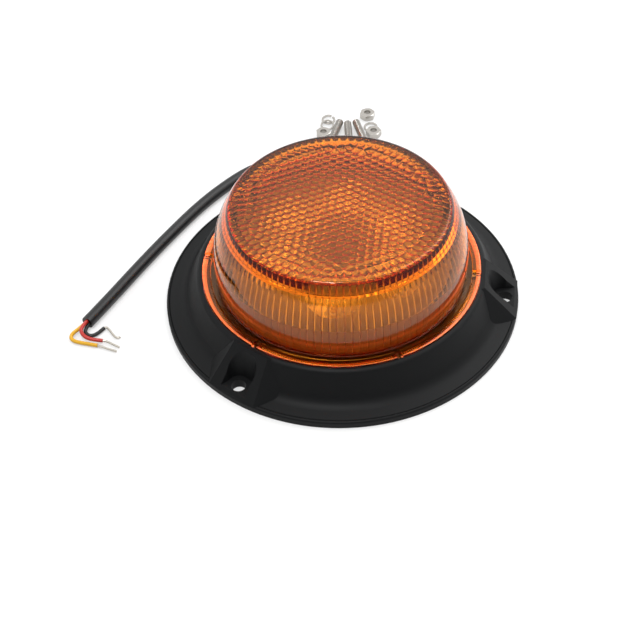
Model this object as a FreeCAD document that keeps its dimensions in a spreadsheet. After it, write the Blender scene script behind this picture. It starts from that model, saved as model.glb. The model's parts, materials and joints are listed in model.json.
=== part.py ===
import FreeCAD, Part
import math
import os
import re
import Sketcher

# A low flashing beacon with three mounting lugs: a flared base moulding that holds the lamp's
# electronics in a central cup, a clear domed lens screwed on from beneath, a three-core lead
# and the loose set of mounting hardware.  Z is up, the origin is the centre of the underside,
# and lug 1 lies on +X.  Lengths are millimetres and angles are degrees.

SIZES = [
    ("cup_radius", 47, "inside of the cup for the driver"),
    ("cup_wall", 3, "wall of the cup"),
    ("cup_floor", 2.5, "floor of the cup"),
    ("ledge_width", 2.6, "ledge that carries the heat spreader"),
    ("ledge_drop", 1.8, "from the lens seat down to that ledge"),
    ("collar_wall", 2.4, "wall of the collar that stands inside the lens"),
    ("collar_rise", 9.2, "height of that collar above the lens seat"),
    ("lens_gap", 1.4, "gap between the collar and the lens wall"),
    ("lens_wall", 2.4, "thickness of the lens wall"),
    ("flange_reach", 6.6, "lens flange beyond its wall"),
    ("flange_thickness", 1.8, "lens flange without its raised ring"),
    ("ring_width", 3.8, "width of the flange's raised ring"),
    ("ring_rise", 1.2, "height of that ring"),
    ("ring_notch", 2.4, "width of the gaps in that ring"),
    ("seat_gap", 0.2, "gap round the lens flange"),
    ("seat_depth", 2.4, "from the base's top down to the lens seat"),
    ("seat_wall", 2.9, "thickness of the seat shelf"),
    ("rim_land", 1.8, "top of the base beside the lens"),
    ("side_run", 6.7, "steep side of the base, measured outward"),
    ("side_rise", 13.3, "steep side of the base, measured upward"),
    ("shoulder_round", 2.5, "rounding of its upper corner"),
    ("cove_round", 7, "hollow curve at its foot"),
    ("apron", 8.9, "from the foot of the steep side to the outside"),
    ("apron_rise", 1.6, "rise of the apron above the lip"),
    ("lip_height", 3.3, "top of the rim lip"),
    ("lip_round", 1, "rounding on the lip's outer edge"),
    ("lip_width", 1.1, "from the outside to the fine crease line"),
    ("crease_width", 0.5, "width of the crease behind the lip"),
    ("crease_depth", 0.3, "depth of the crease behind the lip"),
    ("skin", 2.7, "wall of the flared skirt"),
    ("foot_width", 3.5, "flat foot ring round the underside"),
    ("foot_skin", 1.1, "inner edge of the foot ring"),
    ("groove_inset", 0.4, "from the lens wall's inside to the seal groove"),
    ("groove_width", 2.3, "width of the seal groove"),
    ("groove_depth", 1.5, "depth of the seal groove"),
    ("seal_gap", 0.1, "gap on each side of the seal"),
    ("seal_corner", 0.45, "bevel on the seal's edges"),
    ("lug_count", 3, "mounting lugs"),
    ("bolt_inset", 6, "mounting holes in from the outside"),
    ("bolt_hole", 3.25, "radius of a mounting hole"),
    ("lug_half_width", 9.1, "half the lug's top where it leaves the shoulder"),
    ("lug_spread", 0.2, "widening of the lug's top for each mm outward"),
    ("lug_root", 1.3, "how far the lug runs into the base"),
    ("pocket_floor", 1.2, "pocket's floor above the lip"),
    ("pocket_half_width", 5.3, "half the pocket's floor at the hole"),
    ("pocket_mouth", 8, "half the pocket's floor at the rim"),
    ("pocket_draft", 14, "lean of the pocket's walls"),
    ("backing_radius", 6.5, "pillar behind the pocket's inner end"),
    ("backing_rise", 3, "height of that pillar above the pocket's floor"),
    ("rib_thickness", 1.8, "ribs between the cup and the foot ring"),
    ("rib_count", 12, "ribs under the skirt"),
    ("rib_first", 15, "angle of the first rib"),
    ("rib_lift", 1.5, "ribs stay this far above the foot"),
    ("screw_inset", 3, "lens screws in from the flange's outside"),
    ("lens_screw_count", 6, "screws that hold the lens"),
    ("lens_boss", 2.6, "radius of a boss under the lens flange"),
    ("boss_length", 6.8, "length of a lens boss"),
    ("boss_gap", 0.2, "gap round a lens boss in its pillar"),
    ("pillar_wall", 1.8, "wall of the pillar round a lens boss"),
    ("pillar_lift", 2, "pillars stay this far above the foot"),
    ("shelf_thickness", 2.4, "shelf between a lens boss and its screw's head"),
    ("pilot_radius", 1.05, "self-tapping screw and its hole"),
    ("screw_gap", 0.45, "gap round such a screw where it passes through"),
    ("tapping_head", 1.75, "head of such a screw beyond its shank"),
    ("tapping_head_height", 1.7, "head of such a screw"),
    ("head_gap", 0.3, "gap round that head"),
    ("tapping_bite", 5.6, "how far such a screw goes into its boss"),
    ("channel_turn", 104, "direction of the channel for the lead"),
    ("channel_place", 95.63, "where that channel's middle lies, seen from the centre"),
    ("channel_in", 1.7, "channel's inner end, inside the bush's outer face"),
    ("channel_over", 4.3, "channel's outer end, beyond the rim"),
    ("channel_width", 12, "width of that channel"),
    ("channel_height", 9.6, "height of that channel"),
    ("exit_angle", 93, "direction in which the lead leaves the cup"),
    ("lens_rise", 37.9, "height of the lens above its seat"),
    ("lens_taper", 7.8, "lens wall's foot beyond its top"),
    ("wall_curve", 47.5, "radius of the lens wall's bulge"),
    ("top_round", 2, "rounding between the wall and the top"),
    ("top_thickness", 2.7, "thickness of the lens top"),
    ("crown_inset", 0.3, "inside of the thick ring under the top"),
    ("crown_width", 1.9, "width of that ring's lower edge"),
    ("crown_depth", 5, "depth of that ring"),
    ("spreader_thickness", 2, "aluminium heat spreader"),
    ("spreader_gap", 1, "gap round the heat spreader and the lamp board"),
    ("hub_depth", 3, "hub under the heat spreader"),
    ("wire_way", 5, "opening in that hub"),
    ("board_thickness", 1.6, "circuit boards"),
    ("board_way", 3.5, "opening in the lamp board"),
    ("led_count", 6, "lamps on the round board"),
    ("led_circle", 28, "radius that the lamps lie on"),
    ("led_first", 30, "angle of the first lamp"),
    ("led_side", 3.4, "side of a lamp's body"),
    ("led_body", 0.8, "height of a lamp's body"),
    ("led_dome", 1.25, "radius of a lamp's clear dome"),
    ("tray_gap", 0.3, "gap round the bright reflector tray"),
    ("tray_skin", 1.3, "wall of the reflector tray"),
    ("tray_drop", 0.7, "from the collar's top down to the tray's face"),
    ("tray_round", 0.5, "rounding on the tray's edge"),
    ("cup_mouth", 11.5, "radius of a reflector cup at its mouth"),
    ("cup_throat", 3.2, "radius of a reflector cup at its lamp"),
    ("cup_lift", 0.2, "gap between a reflector cup and the board"),
    ("tray_screw_circle", 12, "radius that the tray's screws lie on"),
    ("tray_screw_count", 3, "screws that hold the tray and the board"),
    ("tray_post", 4.3, "posts under the tray for its screws"),
    ("hub_rise", 1.6, "height of the black cap above the tray"),
    ("cap_rim", 4.5, "width of that cap's raised rim"),
    ("cap_dish", 0.6, "depth of the dish inside that rim"),
    ("driver_gap", 9, "gap round the driver board"),
    ("driver_lift", 2.5, "posts under the driver board"),
    ("driver_post_inset", 5, "posts in from the board's edge"),
    ("driver_post_radius", 3.2, "posts under the driver board"),
    ("driver_post_turn", 30, "angle of the first post"),
    ("driver_notch_width", 18, "gap in the driver board for the lead"),
    ("driver_notch_depth", 7, "depth of that gap"),
    ("capacitor_radius", 3.1, "smoothing capacitor"),
    ("capacitor_height", 5.4, "smoothing capacitor"),
    ("capacitor_x", -16, "row of capacitors"),
    ("capacitor_pitch", 8.4, "from one capacitor to the next"),
    ("choke_side", 9, "choke"),
    ("choke_height", 4.2, "choke"),
    ("choke_x", -4.5, "middle of the choke"),
    ("choke_y", -14.4, "middle of the choke"),
    ("switch_length", 5, "power switch"),
    ("switch_width", 4.4, "power switch"),
    ("switch_height", 2.2, "power switch"),
    ("switch_x", 20, "row of power switches"),
    ("switch_pitch", 8, "from one power switch to the next"),
    ("chip_length", 6.2, "flash controller"),
    ("chip_width", 5, "flash controller"),
    ("chip_height", 1.6, "flash controller"),
    ("chip_x", 8, "middle of the flash controller"),
    ("chip_y", -2, "middle of the flash controller"),
    ("pin_pitch", 2.54, "pins between the two boards"),
    ("pin_side", 0.64, "such a pin"),
    ("terminal_width", 12, "terminal block"),
    ("terminal_depth", 7, "terminal block"),
    ("terminal_height", 6, "terminal block"),
    ("lead_radius", 2.9, "outside of the lead's jacket"),
    ("tail_reach", 8, "how far the lead reaches into the cup"),
    ("bush_neck", 3.9, "rubber bush in the cup wall"),
    ("bush_flange", 4.6, "flanges of the rubber bush"),
    ("bush_lift", 0.1, "gap between the bush and the cup's floor"),
    ("bush_inner", 1.5, "thickness of the flange inside the cup"),
    ("bush_outer", 2, "thickness of the flange outside it"),
    ("bush_round", 0.5, "rounding on both flanges"),
    ("core_radius", 0.86, "outside of one insulated core"),
    ("core_length", 9, "cores between the lead's tail and the terminal block"),
    ("strand_radius", 0.5, "bare tinned end of a core"),
    ("thread_radius", 2, "M4 mounting screw"),
    ("thread_bevel", 0.7, "bevel at that screw's tip"),
    ("screw_length", 25, "length of that screw under its head"),
    ("screw_head_radius", 4, "pan head of that screw"),
    ("screw_head_height", 3.1, "pan head of that screw"),
    ("drive_web", 0.9, "width of the cross slot"),
    ("drive_depth", 1.6, "depth of the cross slot"),
    ("nut_flats", 7, "mounting nut across its flats"),
    ("nut_height", 3.2, "mounting nut"),
    ("nut_bevel", 0.45, "bevel on the nut's corners"),
    ("washer_outer", 3.6, "outside of a spring washer"),
    ("washer_inner", 2.45, "inside of a spring washer"),
    ("washer_thickness", 1, "spring washer"),
    ("washer_split", 0.8, "split in a spring washer"),
]

# Sizes and heights that follow from those above, worked outward and upward from the cup.
FITS = {
    "collar_inner": "cup_radius + ledge_width",
    "spigot_radius": "collar_inner + collar_wall",
    "lens_inner": "spigot_radius + lens_gap",
    "wall_foot_radius": "lens_inner + lens_wall",
    "flange_radius": "wall_foot_radius + flange_reach",
    "ring_inner": "flange_radius - ring_width",
    "shoulder_radius": "flange_radius + seat_gap + rim_land",
    "cove_radius": "shoulder_radius + side_run",
    "base_radius": "cove_radius + apron",
    "bolt_circle": "base_radius - bolt_inset",
    "boss_circle": "flange_radius - screw_inset",
    "groove_inner": "lens_inner + groove_inset",
    "cove_height": "lip_height + apron_rise",
    "shoulder_height": "cove_height + side_rise",
    "seat_height": "shoulder_height - seat_depth",
    "ledge_height": "seat_height - ledge_drop",
    "spigot_height": "seat_height + collar_rise",
    "pocket_height": "lip_height + pocket_floor",
    "wall_foot_height": "seat_height + flange_thickness",
    "boss_bottom": "seat_height - boss_length",
    "screw_shelf": "boss_bottom - shelf_thickness",
    "lens_height": "seat_height + lens_rise",
    "ceiling_height": "lens_height - top_thickness",
    "crown_height": "ceiling_height - crown_depth",
    "wall_top_radius": "wall_foot_radius - lens_taper",
    "crown_radius": "wall_top_radius - crown_inset",
    "spreader_top": "ledge_height + spreader_thickness",
    "board_top": "spreader_top + board_thickness",
    "board_radius": "collar_inner - spreader_gap",
    "tray_radius": "collar_inner - tray_gap",
    "tray_height": "spigot_height - tray_drop",
    "hub_radius": "led_circle - cup_mouth",
    "driver_radius": "cup_radius - driver_gap",
    "driver_height": "cup_floor + driver_lift",
    "driver_top": "driver_height + board_thickness",
    "driver_post_circle": "driver_radius - driver_post_inset",
    "driver_notch": "driver_radius - driver_notch_depth",
    "exit_height": "cup_floor + bush_flange + bush_lift",
    "exit_reach": "cup_radius + cup_wall + bush_outer",
    "tail_radius": "cup_radius - tail_reach",
    "channel_length": "base_radius + channel_over - exit_reach + channel_in",
    "channel_middle": "exit_reach - channel_in + channel_length / 2",
}

doc = FreeCAD.newDocument("FlashingBeacon")
sheet = doc.addObject("Spreadsheet::Sheet", "Sizes")
for row, (name, amount, note) in enumerate(SIZES, 1):
    sheet.set(f"A{row}", name)
    sheet.set(f"B{row}", str(amount))
    sheet.setAlias(f"B{row}", name)
    sheet.set(f"C{row}", note)
doc.recompute()

SIZE_WORD = re.compile(r"\b(" + "|".join(size[0] for size in SIZES) + r")\b")
FIT_WORD = re.compile(r"\b(" + "|".join(FITS) + r")\b")
ORIGIN = FreeCAD.Vector(0, 0, 0)
UP = FreeCAD.Vector(0, 0, 1)
parts = {}


# ---------------------------------------------------------------- helpers

def spelt_out(words):
    """The expression with each fit written as the sizes that it comes from."""
    words = str(words)
    while FIT_WORD.search(words):
        words = FIT_WORD.sub(lambda found: f"({FITS[found.group()]})", words)
    return words


def full(words):
    """The expression in the sheet's sizes, as a property takes it."""
    return SIZE_WORD.sub(r"Sizes.\1", spelt_out(words))


def number(words):
    """What an expression in the sheet's sizes comes to now."""
    answer = sheet.evalExpression(spelt_out(words))
    return float(getattr(answer, "Value", answer))


def bind(thing, place, words):
    """Ties one property to an expression in the sheet's sizes."""
    thing.setExpression(place, full(words))


def keep(thing, label):
    """Names a finished sub-part, which is written to a file of that name."""
    thing.Label = label
    parts[label] = thing
    return thing


def new_body(label):
    return keep(doc.addObject("PartDesign::Body", "Body_" + label), label)


def origin_feature(body, role):
    return next(item for item in body.Origin.OriginFeatures if item.Role == role)


def new_sketch(body, name, role="XY_Plane", **offset):
    """A sketch on one of the body's own origin planes; offset binds x, y, z or turn."""
    sketch = body.newObject("Sketcher::SketchObject", name)
    sketch.AttachmentSupport = [(origin_feature(body, role), "")]
    sketch.MapMode = "FlatFace"
    for key, words in offset.items():
        if key == "turn":
            sketch.AttachmentOffset = FreeCAD.Placement(ORIGIN, FreeCAD.Rotation(UP, 1))
            bind(sketch, "AttachmentOffset.Rotation.Angle", words)
        else:
            bind(sketch, "AttachmentOffset.Base." + key, words)
    return sketch


def fix_point(sketch, item, end, across, along):
    """Holds one end of a sketch item at a place measured from the sketch's origin."""
    for kind, axis, words in (("DistanceX", -2, across), ("DistanceY", -1, along)):
        if str(words) == "0":
            sketch.addConstraint(Sketcher.Constraint("PointOnObject", item, end, axis))
            continue
        index = sketch.addConstraint(Sketcher.Constraint(kind, -1, 1, item, end, number(words)))
        bind(sketch, f"Constraints[{index}]", words)


def set_radius(sketch, item, words):
    index = sketch.addConstraint(Sketcher.Constraint("Radius", item, number(words)))
    bind(sketch, f"Constraints[{index}]", words)


def arc_between(start, end, middle):
    """An arc of a circle round middle, run anticlockwise from start to end."""
    circle = Part.Circle(middle, UP, (start - middle).Length)
    first = math.atan2(start.y - middle.y, start.x - middle.x)
    last = math.atan2(end.y - middle.y, end.x - middle.x)
    return Part.ArcOfCircle(circle, first, last if last > first else last + 2 * math.pi)


def draw_outline(sketch, corners, bulges=None):
    """A closed outline.  A corner is (across, along) or (across, along, rounding).

    bulges gives, for the edge that starts at a corner, the radius of an arc that bows
    away from the sketch's upright axis.
    """
    bulges = bulges or {}
    spots = [FreeCAD.Vector(number(c[0]), number(c[1]), 0) for c in corners]
    count = len(corners)
    ends, rounds = [], []
    for i, corner in enumerate(corners):
        inward = (spots[i] - spots[i - 1]).normalize()
        outward = (spots[(i + 1) % count] - spots[i]).normalize()
        turn = math.atan2(inward.cross(outward).z, inward.dot(outward))
        size = number(corner[2]) if len(corner) > 2 else 0
        reach = size * math.tan(abs(turn) / 2)
        if reach > min((spots[i] - spots[i - 1]).Length, (spots[(i + 1) % count] - spots[i]).Length):
            raise RuntimeError(f"{sketch.Name}: the rounding {size} does not fit at corner {i}")
        ends.append((spots[i] - inward * reach, spots[i] + outward * reach))
        rounds.append((size, turn, inward))
    edges = []
    for i in range(count):
        start, end = ends[i][1], ends[(i + 1) % count][0]
        if i in bulges:
            radius = number(bulges[i])
            half = (end - start) * 0.5
            side = FreeCAD.Vector(half.y, -half.x, 0).normalize()
            if side.x < 0:
                side = side * -1
            middle = start + half - side * math.sqrt(radius ** 2 - half.Length ** 2)
            forward = (start - middle).cross(end - middle).z > 0
            arc = arc_between(start, end, middle) if forward else arc_between(end, start, middle)
            item = sketch.addGeometry(arc, False)
            edges.append((item, 1, 2) if forward else (item, 2, 1))
        else:
            edges.append((sketch.addGeometry(Part.LineSegment(start, end), False), 1, 2))
    for i, words in bulges.items():
        set_radius(sketch, edges[i][0], words)
    for i, corner in enumerate(corners):
        before, after = edges[i - 1], edges[i]
        size, turn, inward = rounds[i]
        if not size:
            sketch.addConstraint(Sketcher.Constraint("Coincident", before[0], before[2], after[0], after[1]))
            fix_point(sketch, after[0], after[1], corner[0], corner[1])
            continue
        left = FreeCAD.Vector(-inward.y, inward.x, 0) * math.copysign(size, turn)
        start, end = ends[i]
        middle = start + left
        arc = arc_between(start, end, middle) if turn > 0 else arc_between(end, start, middle)
        item = sketch.addGeometry(arc, False)
        first, last = (1, 2) if turn > 0 else (2, 1)
        sketch.addConstraint(Sketcher.Constraint("Tangent", before[0], before[2], item, first))
        sketch.addConstraint(Sketcher.Constraint("Tangent", item, last, after[0], after[1]))
        set_radius(sketch, item, corner[2])
        point = sketch.addGeometry(Part.Point(spots[i]), True)
        sketch.addConstraint(Sketcher.Constraint("PointOnObject", point, 1, before[0]))
        sketch.addConstraint(Sketcher.Constraint("PointOnObject", point, 1, after[0]))
        fix_point(sketch, point, 1, corner[0], corner[1])


def draw_circle(sketch, across, along, radius):
    middle = FreeCAD.Vector(number(across), number(along), 0)
    item = sketch.addGeometry(Part.Circle(middle, UP, number(radius)), False)
    fix_point(sketch, item, 3, across, along)
    set_radius(sketch, item, radius)


def turned(body, name, corners, cut=False, bulges=None):
    """A ring or disc, turned about Z from a half section drawn in the XZ plane."""
    sketch = new_sketch(body, name + "_section", "XZ_Plane")
    draw_outline(sketch, corners, bulges)
    feature = body.newObject("PartDesign::Groove" if cut else "PartDesign::Revolution", name)
    feature.Profile = sketch
    feature.ReferenceAxis = (sketch, ["V_Axis"])
    feature.Angle = 360
    body.Tip = feature
    return feature


def circle_edges(feature, radius, height):
    """The names of a feature's round edges of this radius at this height."""
    wanted = (number(radius), number(height))
    names = []
    for i, edge in enumerate(feature.Shape.Edges, 1):
        curve = edge.Curve
        if isinstance(curve, Part.Circle) and abs(curve.Center.z - wanted[1]) < 0.01:
            if abs(curve.Radius - wanted[0]) < 0.01:
                names.append(f"Edge{i}")
    return names


def raised(body, name, sketch, length, cut=False, down=False, both_ways=False, draft=None):
    """A pad, or with cut a pocket, that runs up from its sketch unless down is set."""
    feature = body.newObject("PartDesign::Pocket" if cut else "PartDesign::Pad", name)
    feature.Profile = sketch
    bind(feature, "Length", length)
    feature.Reversed = cut != down
    feature.Midplane = both_ways
    if draft is not None:
        bind(feature, "TaperAngle", draft)
    body.Tip = feature
    return feature


def repeated(body, name, originals, count):
    """Copies of features, evenly round the body's Z axis."""
    pattern = body.newObject("PartDesign::PolarPattern", name)
    pattern.Originals = originals
    pattern.Axis = (origin_feature(body, "Z_Axis"), [""])
    pattern.Angle = 360
    bind(pattern, "Occurrences", count)
    body.Tip = pattern
    return pattern


def round_hole(body, name, across, along, radius, low, length):
    """A round pocket that runs up from the height low."""
    sketch = new_sketch(body, name + "_outline", z=low)
    draw_circle(sketch, across, along, radius)
    return raised(body, name, sketch, length, cut=True)


def round_post(body, name, across, along, radius, low, length):
    """A round pad that runs up from the height low."""
    sketch = new_sketch(body, name + "_outline", z=low)
    draw_circle(sketch, across, along, radius)
    return raised(body, name, sketch, length)


def put(thing, x="0", y="0", z="0"):
    """Binds a thing's place to expressions."""
    for key, words in (("x", x), ("y", y), ("z", z)):
        bind(thing, "Placement.Base." + key, words)


def cylinder(name, radius, height, x="0", y="0", z="0"):
    thing = doc.addObject("Part::Cylinder", name)
    bind(thing, "Radius", radius)
    bind(thing, "Height", height)
    put(thing, x, y, z)
    return thing


def box(name, length, width, height, x="0", y="0", z="0"):
    """A box that is centred on x and y and stands on z."""
    thing = doc.addObject("Part::Box", name)
    for key, words in (("Length", length), ("Width", width), ("Height", height)):
        bind(thing, key, words)
    put(thing, f"{x} - ({length}) / 2", f"{y} - ({width}) / 2", z)
    return thing


def joined(label, pieces):
    """One node of several pieces, fused where they meet."""
    thing = doc.addObject("Part::MultiFuse", "Group_" + label)
    thing.Shapes = pieces
    return keep(thing, label)


def ring_of(label, make, count, radius, first="0"):
    """One node of equal solids spread round the Z axis: make(i, x, y) builds each."""
    total = int(number(count))
    places = [f"({first}) + 360 / {count} * {i}" for i in range(total)]
    return joined(label, [make(i, f"{radius} * cos(({a}) * 1 deg)", f"{radius} * sin(({a}) * 1 deg)")
                          for i, a in enumerate(places)])


# ---------------------------------------------------------------- base moulding

def base_housing():
    """Flared skirt, lens seat, collar and cup in one moulding, with lugs and ribs."""
    body = new_body("base_housing")
    turned(body, "base_blank", [
        ("0", "0"),
        ("base_radius", "0"),
        ("base_radius", "lip_height", "lip_round"),
        ("base_radius - lip_width", "lip_height"),
        ("base_radius - lip_width - crease_width / 2", "lip_height - crease_depth"),
        ("base_radius - lip_width - crease_width", "lip_height"),
        ("cove_radius", "cove_height", "cove_round"),
        ("shoulder_radius", "shoulder_height", "shoulder_round"),
        ("flange_radius + seat_gap", "shoulder_height"),
        ("flange_radius + seat_gap", "seat_height"),
        ("groove_inner + groove_width", "seat_height"),
        ("groove_inner + groove_width", "seat_height - groove_depth"),
        ("groove_inner", "seat_height - groove_depth"),
        ("groove_inner", "seat_height"),
        ("spigot_radius", "seat_height"),
        ("spigot_radius", "spigot_height"),
        ("spigot_radius - collar_wall", "spigot_height"),
        ("spigot_radius - collar_wall", "ledge_height"),
        ("cup_radius", "ledge_height"),
        ("cup_radius", "cup_floor"),
        ("0", "cup_floor"),
    ])
    mounting_lugs(body)
    turned(body, "skirt_hollow", [
        ("cup_radius + cup_wall", "-1"),
        ("base_radius - foot_width", "-1"),
        ("base_radius - foot_width", "foot_skin"),
        ("cove_radius - skin / 4", "cove_height - skin"),
        ("shoulder_radius - skin", "seat_height - seat_wall"),
        ("cup_radius + cup_wall", "seat_height - seat_wall"),
    ], cut=True)
    skirt_ribs(body)
    lug_seats(body)
    lens_pillars(body)
    driver_posts(body)
    lead_channel(body)
    return body


def mounting_lugs(body):
    """Three wedges that fill the cove.

    The wedge's top falls at 45 degrees from the shoulder to the lip and its sides fall
    away at 45 degrees from the top's edges, so every level section is a trapezium.
    """
    inner = "(shoulder_radius - lug_root)"
    fall = "(shoulder_height - lip_height)"
    spread = f"(1 - lug_spread) * (shoulder_radius - {inner})"
    widths = {
        "foot": (f"lug_half_width + {spread} + {fall}", f"shoulder_radius + {fall}",
                 f"lug_half_width + lug_spread * {fall}"),
        "top": (f"lug_half_width + {spread}", "shoulder_radius", "lug_half_width"),
    }
    sections = []
    for level, height in (("foot", "lip_height"), ("top", "shoulder_height")):
        sketch = new_sketch(body, "lug_" + level, z=height)
        wide, far, narrow = widths[level]
        draw_outline(sketch, [(inner, f"-({wide})"), (far, f"-({narrow})"), (far, narrow), (inner, wide)])
        sections.append(sketch)
    wedge = body.newObject("PartDesign::AdditiveLoft", "lug_wedge")
    wedge.Profile = sections[0]
    wedge.Sections = [sections[1]]
    wedge.Ruled = True
    body.Tip = wedge
    repeated(body, "lug_wedges", [wedge], "lug_count")


def lug_seats(body):
    """In each lug an open, tapered pocket with a bolt hole, on a pillar that stands on the floor."""
    back = round_post(body, "lug_backing", "bolt_circle - pocket_half_width", "0", "backing_radius",
                      "rib_lift", "pocket_height + backing_rise - rib_lift")
    post = round_post(body, "lug_boss", "bolt_circle", "0", "bolt_inset - lip_round / 2", "0",
                      "lip_height - lip_round")
    sections = []
    for level, height in (("floor", "pocket_height"), ("top", "(shoulder_height + 1)")):
        grow = f"({height} - pocket_height) * tan(pocket_draft * 1 deg)"
        near = f"(pocket_half_width + {grow})"
        outer = f"(pocket_mouth + {grow})"
        inner, mouth = f"bolt_circle - {near}", "(base_radius + 3)"
        sketch = new_sketch(body, "pocket_" + level, z=height)
        draw_outline(sketch, [
            (inner, f"-{near}", f"0.8 * {near}"), ("bolt_circle", f"-{near}"), (mouth, f"-{outer}"),
            (mouth, outer), ("bolt_circle", near), (inner, near, f"0.8 * {near}"),
        ])
        sections.append(sketch)
    pocket = body.newObject("PartDesign::SubtractiveLoft", "lug_pocket")
    pocket.Profile = sections[0]
    pocket.Sections = [sections[1]]
    pocket.Ruled = True
    body.Tip = pocket
    hole = round_hole(body, "lug_hole", "bolt_circle", "0", "bolt_hole", "-1", "pocket_height + 2")
    repeated(body, "lug_seats", [back, post, pocket, hole], "lug_count")


def skirt_ribs(body):
    """Upright ribs under the skirt, from the cup to the foot ring."""
    sketch = new_sketch(body, "rib_side", "XZ_Plane")
    draw_outline(sketch, [
        ("cup_radius + cup_wall / 2", "rib_lift"),
        ("base_radius - foot_width / 2", "rib_lift"),
        ("base_radius - foot_width / 2", "lip_height - skin / 2"),
        ("cove_radius", "cove_height - skin / 2"),
        ("shoulder_radius - skin / 2", "seat_height - seat_wall / 2"),
        ("cup_radius + cup_wall / 2", "seat_height - seat_wall / 2"),
    ])
    sketch.AttachmentOffset = FreeCAD.Placement(ORIGIN, FreeCAD.Rotation(FreeCAD.Vector(0, 1, 0), 1))
    bind(sketch, "AttachmentOffset.Rotation.Angle", "rib_first")
    rib = raised(body, "rib", sketch, "rib_thickness", both_ways=True)
    repeated(body, "ribs", [rib], "rib_count")


def lens_pillars(body):
    """Pillars that take the lens bosses from above and the lens screws from beneath."""
    post = round_post(body, "pillar", "boss_circle", "0", "lens_boss + boss_gap + pillar_wall", "pillar_lift",
                      "seat_height - seat_wall / 2 - pillar_lift")
    socket = round_hole(body, "boss_socket", "boss_circle", "0", "lens_boss + boss_gap",
                        "boss_bottom - boss_gap", "seat_height")
    shaft = round_hole(body, "screw_way", "boss_circle", "0", "pilot_radius + screw_gap", "0", "seat_height")
    head = round_hole(body, "head_way", "boss_circle", "0", "pilot_radius + tapping_head + head_gap", "0",
                      "screw_shelf")
    repeated(body, "pillars", [post, socket, shaft, head], "lens_screw_count")


def driver_posts(body):
    """Posts on the cup floor for the driver board."""
    across = "driver_post_circle * cos(driver_post_turn * 1 deg)"
    along = "driver_post_circle * sin(driver_post_turn * 1 deg)"
    post = round_post(body, "driver_post", across, along, "driver_post_radius",
                      "cup_floor / 2", "driver_height - cup_floor / 2")
    pilot = round_hole(body, "driver_pilot", across, along, "pilot_radius", "cup_floor", "driver_height")
    repeated(body, "driver_posts", [post, pilot], "3")


def lead_channel(body):
    """The hole for the lead's bush, and the channel that lets the lead out at the rim."""
    hole = new_sketch(body, "bush_hole_outline", "XZ_Plane", z="0")
    hole.AttachmentOffset = FreeCAD.Placement(ORIGIN, FreeCAD.Rotation(FreeCAD.Vector(0, 1, 0), 1))
    bind(hole, "AttachmentOffset.Rotation.Angle", "exit_angle - 90")
    draw_circle(hole, "0", "exit_height", "bush_neck")
    raised(body, "bush_hole", hole, "cup_radius + cup_wall + 3", cut=True, down=True)
    slot = new_sketch(body, "channel_outline", x="channel_middle * cos(channel_place * 1 deg)",
                      y="channel_middle * sin(channel_place * 1 deg)", z="-1", turn="channel_turn")
    half, side = "channel_length / 2", "channel_width / 2"
    draw_outline(slot, [(f"-{half}", f"-{side}"), (half, f"-{side}"), (half, side), (f"-{half}", side)])
    raised(body, "lead_channel", slot, "channel_height + 1", cut=True)


# ---------------------------------------------------------------- lens

def lens():
    """Amber dome: flat top, bulging wall, raised ring on its flange and six screw bosses."""
    body = new_body("lens")
    shell = turned(body, "lens_shell", [
        ("0", "ceiling_height"),
        ("crown_radius", "ceiling_height"),
        ("crown_radius", "crown_height"),
        ("crown_radius + crown_width", "crown_height"),
        ("lens_inner", "wall_foot_height"),
        ("lens_inner", "seat_height"),
        ("flange_radius", "seat_height"),
        ("flange_radius", "wall_foot_height + ring_rise", "0.4"),
        ("ring_inner", "wall_foot_height + ring_rise", "0.4"),
        ("ring_inner", "wall_foot_height"),
        ("wall_foot_radius", "wall_foot_height"),
        ("wall_top_radius", "lens_height"),
        ("0", "lens_height"),
    ], bulges={3: "wall_curve - lens_wall", 10: "wall_curve"})
    doc.recompute()
    corner = body.newObject("PartDesign::Fillet", "lens_corner")
    corner.Base = (shell, circle_edges(shell, "wall_top_radius", "lens_height"))
    bind(corner, "Radius", "top_round")
    body.Tip = corner
    boss = round_post(body, "lens_boss_post", "boss_circle", "0", "lens_boss", "boss_bottom", "boss_length")
    pilot = round_hole(body, "lens_pilot", "boss_circle", "0", "pilot_radius", "boss_bottom", "boss_length")
    gap = new_sketch(body, "ring_gap_outline", z="wall_foot_height")
    side = "ring_notch / 2"
    draw_outline(gap, [("ring_inner - 1", f"-{side}"), ("flange_radius + 1", f"-{side}"),
                       ("flange_radius + 1", side), ("ring_inner - 1", side)])
    cut = raised(body, "ring_gap", gap, "ring_rise * 2", cut=True)
    repeated(body, "lens_bosses", [boss, pilot, cut], "lens_screw_count")


def lens_seal():
    """Rubber ring in the groove, closed in by the flange."""
    body = new_body("lens_seal")
    low, high, bevel = "(seat_height - groove_depth)", "seat_height", "seal_corner"
    near, far = "(groove_inner + seal_gap)", "(groove_inner + groove_width - seal_gap)"
    turned(body, "seal_ring", [
        (near, f"{low} + {bevel}"), (f"{near} + {bevel}", low), (f"{far} - {bevel}", low),
        (far, f"{low} + {bevel}"), (far, f"{high} - {bevel}"), (f"{far} - {bevel}", high),
        (f"{near} + {bevel}", high), (near, f"{high} - {bevel}"),
    ])


def tapping_screw(name, x, y, seat, length, up=True):
    """A pan-head self-tapping screw; seat is the height of the face that its head bears on."""
    head_low = f"{seat} - tapping_head_height" if up else seat
    shank_low = seat if up else f"{seat} - ({length})"
    head = cylinder(name + "_head", "pilot_radius + tapping_head", "tapping_head_height", x, y, head_low)
    shank = cylinder(name + "_shank", "pilot_radius", length, x, y, shank_low)
    screw = doc.addObject("Part::Fuse", name)
    screw.Base, screw.Tool = head, shank
    return screw


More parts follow.
